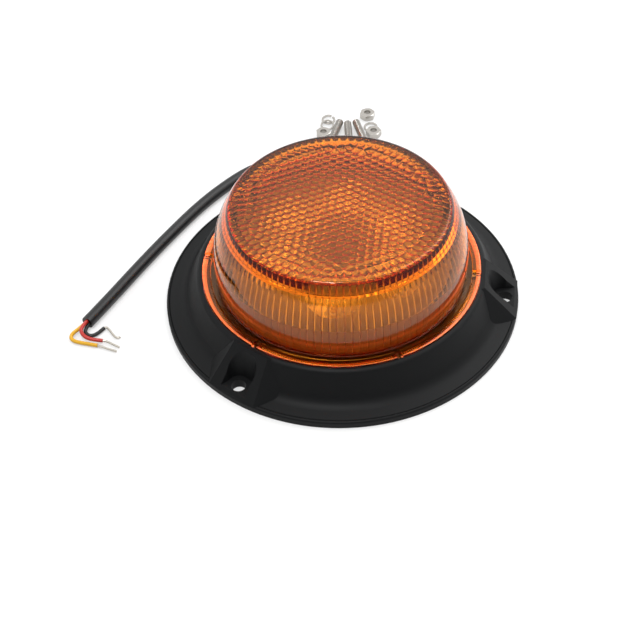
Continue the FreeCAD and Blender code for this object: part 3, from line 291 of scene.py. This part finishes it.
def reflector_material():
    """Vacuum-plated plastic: bright inside the cups, and left matt white on the flat between them. The
    flat's white is darkened outward by painted shade.
    """
    mat, shader = new_material("bright_reflector", "#c9c9c4", 0.3)
    place = add(mat, "ShaderNodeTexCoord")
    parts = add(mat, "ShaderNodeSeparateXYZ", {"Vector": place.outputs["Normal"]})
    level = add(mat, "ShaderNodeMapRange", {"Value": parts.outputs["Z"], "From Min": 0.9, "From Max": 0.98})
    level = level.outputs["Result"]
    tint = add(mat, "ShaderNodeMix", {"Factor": level}, data_type="RGBA")
    tint.inputs[MIX_A].default_value = linear("#dededa")
    # Painted shade: the flat's colour greys from white at TRAY_LIT_R to shaded grey at TRAY_SHADE_R.
    outward = add(mat, "ShaderNodeMapRange", {
        "Value": axis_distance(mat, place.outputs["Object"]), "From Min": TRAY_LIT_R * MM,
        "From Max": TRAY_SHADE_R * MM})
    flat_painted_shade = blend(mat, outward.outputs["Result"], "#d4d4cf", "#85837d")
    mat.node_tree.links.new(flat_painted_shade.outputs[2], tint.inputs[MIX_B])
    rough = add(mat, "ShaderNodeMapRange", {"Value": level, "To Min": 0.2, "To Max": 0.6})
    plated = add(mat, "ShaderNodeMapRange", {"Value": level, "To Min": 1, "To Max": 0.1})
    mat.node_tree.links.new(tint.outputs[2], shader.inputs["Base Color"])
    mat.node_tree.links.new(rough.outputs["Result"], shader.inputs["Roughness"])
    mat.node_tree.links.new(plated.outputs["Result"], shader.inputs["Metallic"])
    return mat


MATERIALS = {
    "housing_plastic": housing_material(),
    "lens_amber": lens_material(),
    # Moulded rubber: dull and dark.
    "seal_rubber": plain_plastic("seal_rubber", "#1a1a1b", 0.7, ("#151516", "#202021")),
    # Zinc-plated steel: pale and softly bright.
    "zinc_steel": metal("zinc_steel", "#bdbbb4", 0.3, ("#b3b1aa", "#c7c5be")),
    # Rolled stainless steel: a sharper, greyer shine.
    "stainless_steel": metal("stainless_steel", "#b5b1ab", 0.22, ("#a8a49e", "#c3bfb9")),
    # Pressed aluminium: light grey, half dull.
    "plain_aluminium": metal("plain_aluminium", "#c4c6c8", 0.35, ("#b9bbbd", "#cfd1d3")),
    "bright_reflector": reflector_material(),
    # Solder mask on the lamp board: white, a little glossy.
    "board_white": plain_plastic("board_white", "#dcdedb", 0.4, ("#d3d5d2", "#e4e6e3")),
    # Solder mask on fibreglass: green, a little glossy.
    "board_green": plain_plastic("board_green", "#1f5a38", 0.35, ("#1b5133", "#23633e")),
    # Cast silicone over the lamps: glossy, yellowish.
    "lamp_clear": plain_plastic("lamp_clear", "#e9d98a", 0.15, ("#e2d07c", "#f0e19a")),
    # Moulded cap under the lens's middle: greyish brown, so that the middle looks deeper.
    "cap_black": plain_plastic("cap_black", "#7d7670", 0.35, ("#756e69", "#857e78")),
    # Moulded epoxy: dull black.
    "chip_black": plain_plastic("chip_black", "#1c1c1e", 0.5, ("#171719", "#212123")),
    # Pressed ferrite: dull dark grey.
    "coil_ferrite": plain_plastic("coil_ferrite", "#3a3836", 0.6, ("#33312f", "#423f3d")),
    # Moulded nylon: green, half dull.
    "terminal_green": plain_plastic("terminal_green", "#2f7a48", 0.4, ("#2a7041", "#35844f")),
    # Extruded PVC: black with a soft sheen along its length.
    "jacket_black": plain_plastic("jacket_black", "#0a0a0b", 0.42, ("#080809", "#0e0e0f"),
                                 JACKET_GRAIN, 0.00005),
    # Extruded PVC on the cores: clean colours, half glossy.
    "core_red": plain_plastic("core_red", "#b3261e", 0.35, ("#a8211a", "#c03026")),
    "core_yellow": plain_plastic("core_yellow", "#d9a316", 0.35, ("#cf990f", "#e4b026")),
    "core_black": plain_plastic("core_black", "#191919", 0.35, ("#141414", "#1f1f1f")),
    # Tinned copper strands: pale and bright.
    "tinned_copper": metal("tinned_copper", "#c9c3b8", 0.3, ("#b5aea2", "#d8d3c9")),
    # Turned brass: warm and bright.
    "pin_brass": metal("pin_brass", "#c9a45a", 0.3, ("#bd9950", "#d4b06a")),
}


def dress_nodes():
    """Every CAD node that stays gets the scene's material for its slot."""
    for entry in frame["record"]["subparts"]:
        piece = frame["nodes"][entry["node"]]
        piece.data.materials.clear()
        piece.data.materials.append(MATERIALS[entry["material_slot"]])


# ---------------------------------------------------------------- mesh helpers

def new_piece(name, verts, faces, slot, sharp=30):
    """A smooth-shaded mesh in metres from points in millimetres, riding on the body."""
    mesh = bpy.data.meshes.new(name)
    mesh.from_pydata([Vector(v) * MM for v in verts], [], faces)
    mesh.validate()
    mesh.polygons.foreach_set("use_smooth", [True] * len(mesh.polygons))
    mesh.set_sharp_from_angle(angle=math.radians(sharp))
    mesh.materials.append(MATERIALS[slot])
    piece = bpy.data.objects.new(name, mesh)
    bpy.context.scene.collection.objects.link(piece)
    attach(piece, "root")
    return piece


def lathe(verts, faces, angles, profile, inward=False):
    """Adds a turned surface; profile(angle) gives its (radius, height) points at that angle."""
    first = len(verts)
    rows = [profile(angle) for angle in angles]
    count = len(rows[0])
    for angle, row in zip(angles, rows):
        verts.extend((r * math.cos(angle), r * math.sin(angle), z) for r, z in row)
    for i in range(len(angles)):
        here, there = first + i * count, first + (i + 1) % len(angles) * count
        for k in range(count - 1):
            face = [here + k, there + k, there + k + 1, here + k + 1]
            faces.append(face[::-1] if inward else face)
    return first


def arc_points(start, end, radius, steps):
    """Points from start to end on an arc that bows outward, as (radius, height) pairs."""
    (r0, z0), (r1, z1) = start, end
    half = math.hypot(r1 - r0, z1 - z0) / 2
    rise = math.sqrt(radius ** 2 - half ** 2)
    across, along = (z1 - z0) / (2 * half), -(r1 - r0) / (2 * half)
    centre_r, centre_z = (r0 + r1) / 2 - across * rise, (z0 + z1) / 2 - along * rise
    a0 = math.atan2(z0 - centre_z, r0 - centre_r)
    a1 = math.atan2(z1 - centre_z, r1 - centre_r)
    return [(centre_r + radius * math.cos(a0 + (a1 - a0) * i / steps),
             centre_z + radius * math.sin(a0 + (a1 - a0) * i / steps)) for i in range(steps + 1)]


# ---------------------------------------------------------------- lens

def lens_angles():
    """Directions round the lens, with close pairs at each side of a gap in the ring."""
    half = RING_GAP / 2 / RING_R
    tiny = 0.0003
    angles = []
    for k in range(SCREWS_ROUND):
        middle = k * TURN / SCREWS_ROUND
        angles += [middle - half - tiny, middle - half + tiny, middle + half - tiny, middle + half + tiny]
        angles += [middle + half + (TURN / SCREWS_ROUND - 2 * half) * i / 40 for i in range(1, 40)]
    return angles


def ring_height(angle):
    """The raised ring's top, or the flange's top where the ring has a gap."""
    nearest = round(angle / (TURN / SCREWS_ROUND)) * TURN / SCREWS_ROUND
    return FLANGE_Z if abs(angle - nearest) < RING_GAP / 2 / RING_R else RING_Z


def outer_profile(angle):
    """The lens's outside from the seat to the middle of its top."""
    high = ring_height(angle)
    points = [(FLANGE_R, UNDERSIDE_Z), (FLANGE_R, high - EDGE), (FLANGE_R - 0.12, high - 0.08),
              (FLANGE_R - 0.4, high), (RING_R + 0.4, high), (RING_R + 0.12, high - 0.08),
              (RING_R, min(high - EDGE, FLANGE_Z + 0.9)), (RING_R, FLANGE_Z),
              (FOOT_R + 0.25, FLANGE_Z), (FOOT_R, FLANGE_Z + 0.25)]
    wall = arc_points((FOOT_R, FLANGE_Z), (TOP_R, TOP_Z), WALL_CURVE, 26)
    (r0, z0), (r1, z1) = wall[-2], wall[-1]
    lean = math.atan2(r0 - r1, z1 - z0)
    reach = TOP_ROUND * math.tan((math.pi / 2 - lean) / 2)
    middle_z = TOP_Z - TOP_ROUND
    middle_r = TOP_R - reach
    points += [p for p in wall[1:-1] if p[1] < middle_z + TOP_ROUND * math.sin(lean) - 0.3]
    steps = 7
    for i in range(steps + 1):
        a = lean + (math.pi / 2 - lean) * i / steps
        points.append((middle_r + TOP_ROUND * math.cos(a), middle_z + TOP_ROUND * math.sin(a)))
    points += [(r, TOP_Z) for r in (40, 28, 14, 0.02)]
    return points


def flute_angles():
    """Directions round the wall's inside: a few across each ridge and one between ridges."""
    shares = (0, 0.5 - FLUTE_SHARE, 0.5 - FLUTE_SHARE / 2, 0.5, 0.5 + FLUTE_SHARE / 2, 0.5 + FLUTE_SHARE)
    return [TURN * (i + share) / FLUTES for i in range(FLUTES) for share in shares]


def flute(angle):
    """How far a flute's narrow ridge stands out at this angle, from 0 to 1."""
    away = abs((angle / TURN * FLUTES) % 1 - 0.5) / FLUTE_SHARE
    return 0 if away >= 1 else math.cos(math.pi / 2 * away)


def inner_wall(angle):
    """The wall's inside from the ledge under the ring down to the seat."""
    wall = arc_points((FOOT_R - WALL, FLANGE_Z), (STEP_OUT_R, STEP_Z), WALL_CURVE - WALL, 16)[::-1]
    ridge = FLUTE_DEPTH * flute(angle)
    ends = len(wall) - 1
    points = []
    for i, (r, z) in enumerate(wall):
        fade = min(1, i / 1.0, (ends - i) / 1.5)
        points.append((r - ridge * fade, z))
    return points + [(FOOT_R - WALL, UNDERSIDE_Z)]


def underside(angle):
    """The flange's lower face, just off the seat, with fine teeth under the raised ring."""
    tooth = UNDERSIDE_Z + TOOTH_HEIGHT * (round(angle / TURN * 2 * TEETH) % 2)
    if ring_height(angle) < RING_Z:
        tooth = RING_FROST_Z + 0.2
    return [(FOOT_R - WALL, UNDERSIDE_Z), (RING_R + 0.2, UNDERSIDE_Z), (RING_R + 0.3, tooth),
            (FLANGE_R - 0.3, tooth), (FLANGE_R - 0.2, UNDERSIDE_Z), (FLANGE_R, UNDERSIDE_Z)]


def ring_face(angle):
    """The thick ring's fluted inner face and its lower edge."""
    ridge = FLUTE_DEPTH * flute(angle)
    return [(STEP_R, CEILING_Z), (STEP_R - ridge * 0.9, CEILING_Z - 0.3), (STEP_R - ridge, STEP_Z + 0.6),
            (STEP_R - ridge * 0.8, STEP_Z + 0.2), (STEP_R + 0.25, STEP_Z), (STEP_OUT_R, STEP_Z)]


def cell_centres():
    """Hexagonal packing in the middle and two rows that follow the rim."""
    rows = [STEP_R - CELL_PITCH * (0.5 + k * 0.9) for k in range(2)]
    centres = []
    for k, r in enumerate([2 * STEP_R - rows[0]] + rows):
        count = round(TURN * rows[0] / CELL_PITCH)
        shift = 0 if k < 2 else (k - 1) * 0.5
        centres += [(r * math.cos(TURN * (i + shift) / count), r * math.sin(TURN * (i + shift) / count))
                    for i in range(count)]
    limit = rows[-1] - CELL_PITCH * 0.72
    rise = CELL_PITCH * math.sqrt(3) / 2
    reach = int(STEP_R / rise) + 1
    for j in range(-reach, reach + 1):
        for i in range(-reach, reach + 1):
            x, y = j * rise, (i + 0.5 * (j % 2)) * CELL_PITCH
            if math.hypot(x, y) < limit:
                centres.append((x, y))
    return centres


def pillow_cells(verts, faces):
    """The ceiling's small cushions, one per cell of the pattern."""
    centres = cell_centres()
    spots, _, triangles, _, _, _ = geometry.delaunay_2d_cdt([Vector(c) for c in centres], [], [], 0, 1e-6)
    corners = {}
    for triangle in triangles:
        a, b, c = (spots[i] for i in triangle)
        d = 2 * (a.x * (b.y - c.y) + b.x * (c.y - a.y) + c.x * (a.y - b.y))
        if abs(d) < 1e-9:
            continue
        aa, bb, cc = a.length_squared, b.length_squared, c.length_squared
        middle = Vector(((aa * (b.y - c.y) + bb * (c.y - a.y) + cc * (a.y - b.y)) / d,
                         (aa * (c.x - b.x) + bb * (a.x - c.x) + cc * (b.x - a.x)) / d))
        for i in triangle:
            corners.setdefault(i, []).append(middle)
    shared = {}

    def corner_vertex(point):
        key = (round(point.x, 3), round(point.y, 3))
        if key not in shared:
            shared[key] = len(verts)
            verts.append((point.x, point.y, CEILING_Z))
        return shared[key]

    for i, middles in corners.items():
        centre = spots[i]
        if centre.length > STEP_R:
            continue
        outline = sorted(middles, key=lambda p: math.atan2(p.y - centre.y, p.x - centre.x))
        outline = [p if p.length <= STEP_R else p.normalized() * STEP_R for p in outline]
        loop = []
        for point in outline:
            vertex = corner_vertex(point)
            if not loop or (vertex != loop[-1] and vertex != loop[0]):
                loop.append(vertex)
        if len(loop) < 3:
            continue
        rim = [Vector(verts[v][:2]) for v in loop]
        rings = [loop]
        for share, depth in CUSHION_RINGS:
            start = len(verts)
            verts.extend((centre.x + (p.x - centre.x) * share, centre.y + (p.y - centre.y) * share,
                          CEILING_Z - CELL_DEPTH * depth) for p in rim)
            rings.append(list(range(start, start + len(rim))))
        for outside, inside in zip(rings, rings[1:]):
            for k in range(len(rim)):
                n = (k + 1) % len(rim)
                faces.append([outside[k], inside[k], inside[n], outside[n]])
        tip = len(verts)
        verts.append((centre.x, centre.y, CEILING_Z - CELL_DEPTH))
        for k in range(len(rim)):
            faces.append([rings[-1][k], tip, rings[-1][(k + 1) % len(rim)]])


def build_lens():
    """One clear shell: smooth outside, cushions under its top and flutes inside its wall."""
    verts, faces = [], []
    lathe(verts, faces, lens_angles(), outer_profile)
    lathe(verts, faces, flute_angles(), ring_face)
    lathe(verts, faces, flute_angles(), inner_wall)
    lathe(verts, faces, [TURN * i / (2 * TEETH) for i in range(2 * TEETH)], underside)
    pillow_cells(verts, faces)
    piece = new_piece("lens_shell", verts, faces, "lens_amber", 32)
    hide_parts("lens")


# ---------------------------------------------------------------- lead

def spline_piece(name, route, radius, slot):
    """A round cord along a route given in millimetres."""
    curve = bpy.data.curves.new(name, "CURVE")
    curve.dimensions = "3D"
    curve.bevel_depth = radius * MM
    curve.bevel_resolution = 6
    curve.resolution_u = 12
    curve.use_fill_caps = True
    spline = curve.splines.new("NURBS")
    spline.points.add(len(route) - 1)
    for point, place in zip(spline.points, route):
        point.co = (*(Vector(place) * MM), 1)
    spline.order_u = 3
    spline.use_endpoint_u = True
    curve.materials.append(MATERIALS[slot])
    piece = bpy.data.objects.new(name, curve)
    bpy.context.scene.collection.objects.link(piece)
    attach(piece, "root")
    return piece


def build_lead():
    """The lead in its loose curve, with its three cores and their bare ends."""
    jacket = spline_piece("lead_jacket_round", LEAD_ROUTE, LEAD_RADIUS, "jacket_black")
    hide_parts("lead_jacket")
    ends = []
    for colour, route in CORE_ROUTES.items():
        core = spline_piece(f"core_{colour}_round", route, CORE_RADIUS, f"core_{colour}")
        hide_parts(f"core_{colour}")
        bare = spline_piece(f"strands_{colour}_round", STRAND_ROUTES[colour], STRAND_RADIUS,
                            "tinned_copper")
        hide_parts(f"strands_{colour}")
        ends += [core, bare]


# ---------------------------------------------------------------- loose hardware

def thread_profile(angle):
    """A screw from its tip up to the slot in its head, at one angle round its axis."""
    points = [(SCREW_R - TIP_BEVEL, -SCREW_LENGTH)]
    steps = round(SCREW_LENGTH / THREAD_PITCH) * THREAD_STEPS
    for i in range(1, steps - 2):
        z = -SCREW_LENGTH + i * THREAD_PITCH / THREAD_STEPS
        turn = (z / THREAD_PITCH - angle / TURN) % 1
        crest = SCREW_R - THREAD_DEPTH * min(1, abs(turn - 0.5) * THREAD_FLANK)
        points.append((min(crest, SCREW_R - TIP_BEVEL + z + SCREW_LENGTH), z))
    points += [(SCREW_R - THREAD_DEPTH / 2, 0), (HEAD_R * HEAD_FOOT, 0)]
    points += arc_points((HEAD_R, HEAD_H / 6), (HEAD_R * HEAD_CROWN, HEAD_H), HEAD_R * HEAD_CURVE, 8)
    wing, web = HEAD_R * DRIVE_WING, DRIVE_WEB / 2
    near, far = sorted((abs(math.cos(angle)), abs(math.sin(angle))))
    slot = min(wing / far, web / max(near, 1e-6))
    return points + [(slot, HEAD_H), (slot * 0.9, HEAD_H - DRIVE_DEPTH)]


def build_screws():
    """Pan-head screws, taken as M4, with their threads, where the plain ones lie."""
    corner = math.atan2(DRIVE_WEB / 2, HEAD_R * DRIVE_WING)
    even = {TURN * i / SCREW_SIDES for i in range(SCREW_SIDES)}
    slot_corners = {(k * TURN / 4 + side * corner) % TURN for k in range(4) for side in (-1, 1)}
    angles = sorted(even | slot_corners)
    lean = math.atan2(HEAD_R - SCREW_R, SCREW_LENGTH)
    for i, (head, tip) in enumerate(SCREW_PLACES, 1):
        verts, faces = [], []
        lathe(verts, faces, angles, thread_profile)
        rows = len(verts) // len(angles)
        faces.append([k * rows for k in reversed(range(len(angles)))])
        faces.append([k * rows + rows - 1 for k in range(len(angles))])
        away = (Vector((*head, 0)) - Vector((*tip, 0))).normalized()
        axis = away * math.cos(lean) + Vector((0, 0, math.sin(lean)))
        turn = Vector((0, 0, 1)).rotation_difference(axis)
        seat = Vector((*head, HEAD_R * math.cos(lean)))
        piece = new_piece(f"screw_{i}_threaded", [seat + turn @ Vector(v) for v in verts], faces,
                          "stainless_steel")
        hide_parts(f"mount_screw_{i}")


def build_washers():
    """Spring washers: a square wire wound one turn, one end a little higher than the other."""
    half_split = WASHER_SPLIT / (WASHER_OUTER + WASHER_INNER)
    low, high, cut = 0, WASHER_H, WASHER_EDGE
    section = [(WASHER_INNER, low + cut), (WASHER_INNER + cut, low), (WASHER_OUTER - cut, low),
               (WASHER_OUTER, low + cut), (WASHER_OUTER, high - cut), (WASHER_OUTER - cut, high),
               (WASHER_INNER + cut, high), (WASHER_INNER, high - cut)]
    for i, (x, y, turn, lean) in enumerate(WASHER_PLACES, 1):
        verts, faces = [], []
        for k in range(WASHER_STEPS + 1):
            share = k / WASHER_STEPS
            angle = half_split + (TURN - 2 * half_split) * share
            lift = WASHER_RISE * (1 - share)
            for r, z in section:
                verts.append(Vector((r * math.cos(angle), r * math.sin(angle), z + lift)))
        for k in range(WASHER_STEPS):
            for n in range(8):
                a, b = k * 8 + n, k * 8 + (n + 1) % 8
                faces.append([a, a + 8, b + 8, b])
        faces.append(list(range(8)))
        faces.append([len(verts) - 1 - n for n in range(8)])
        tilt = Matrix.Rotation(math.radians(lean), 3, "X") @ Matrix.Rotation(math.radians(turn), 3, "Z")
        base = Vector((x, y, WASHER_OUTER * math.sin(math.radians(lean))))
        piece = new_piece(f"washer_{i}_sprung", [base + tilt @ v for v in verts], faces, "stainless_steel")
        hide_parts(f"spring_washer_{i}")


# ---------------------------------------------------------------- stage

def build_stage():
    """Pale floor, soft light from above and behind, and the main view."""
    mesh = bpy.data.meshes.new("floor")
    half = FLOOR_HALF
    mesh.from_pydata([(-half, -half, 0), (half, -half, 0), (half, half, 0), (-half, half, 0)], [],
                     [(0, 1, 2, 3)])
    floor = bpy.data.objects.new("floor", mesh)
    floor.location.z = -FLOOR_DROP
    mat, shader = new_material("floor_paint", "#bdbdbd", 0.9)
    way = add(mat, "ShaderNodeLightPath")
    seen = add(mat, "ShaderNodeMath",
               {0: way.outputs["Is Camera Ray"], 1: way.outputs["Is Glossy Ray"]}, operation="ADD")
    seen = add(mat, "ShaderNodeMath", {0: seen.outputs[0], 1: way.outputs["Is Transmission Ray"]},
               operation="ADD", use_clamp=True)
    glow = add(mat, "ShaderNodeMath", {0: seen.outputs[0], 1: FLOOR_GLOW}, operation="MULTIPLY")
    shader.inputs["Emission Color"].default_value = (1, 1, 1, 1)
    mat.node_tree.links.new(glow.outputs[0], shader.inputs["Emission Strength"])
    mesh.materials.append(mat)
    bpy.context.scene.collection.objects.link(floor)

    world = bpy.data.worlds.new("studio")
    world.use_nodes = True
    place = add(world, "ShaderNodeTexCoord")
    toward = add(world, "ShaderNodeVectorMath", {0: place.outputs["Generated"]}, operation="DOT_PRODUCT")
    toward.inputs[1].default_value = (0, 0.8, 0.6)
    light = add(world, "ShaderNodeMapRange", {
        "Value": toward.outputs["Value"], "From Min": -0.75, "From Max": 0.45, "To Min": 0.15,
        "To Max": 1.15})
    backdrop = world.node_tree.nodes["Background"]
    world.node_tree.links.new(light.outputs["Result"], backdrop.inputs["Strength"])
    backdrop.inputs["Color"].default_value = (1, 1, 1, 1)
    bpy.context.scene.world = world

    for name, place, power, size in LAMPS:
        data = bpy.data.lights.new(name, "AREA")
        data.energy = power
        data.size = size
        lamp = bpy.data.objects.new(name, data)
        lamp.location = place
        lamp.rotation_euler = (-Vector(place)).to_track_quat("-Z", "Y").to_euler()
        bpy.context.scene.collection.objects.link(lamp)

    data = bpy.data.cameras.new("camera")
    data.lens = CAMERA_LENS
    camera = bpy.data.objects.new("camera", data)
    forward = Vector(CAMERA_AHEAD).normalized()
    right = forward.cross(Vector((0, 0, 1))).normalized()
    up = right.cross(forward)
    roll = math.radians(CAMERA_ROLL)
    across = right * math.cos(roll) + up * math.sin(roll)
    upright = up * math.cos(roll) - right * math.sin(roll)
    turn = Matrix((across, upright, -forward)).transposed().to_4x4()
    camera.matrix_world = Matrix.Translation(CAMERA_PLACE) @ turn
    bpy.context.scene.collection.objects.link(camera)
    bpy.context.scene.camera = camera
    bpy.context.scene.view_settings.view_transform = "Standard"


build_stage()
dress_nodes()
build_lead()
build_lens()
build_screws()
build_washers()
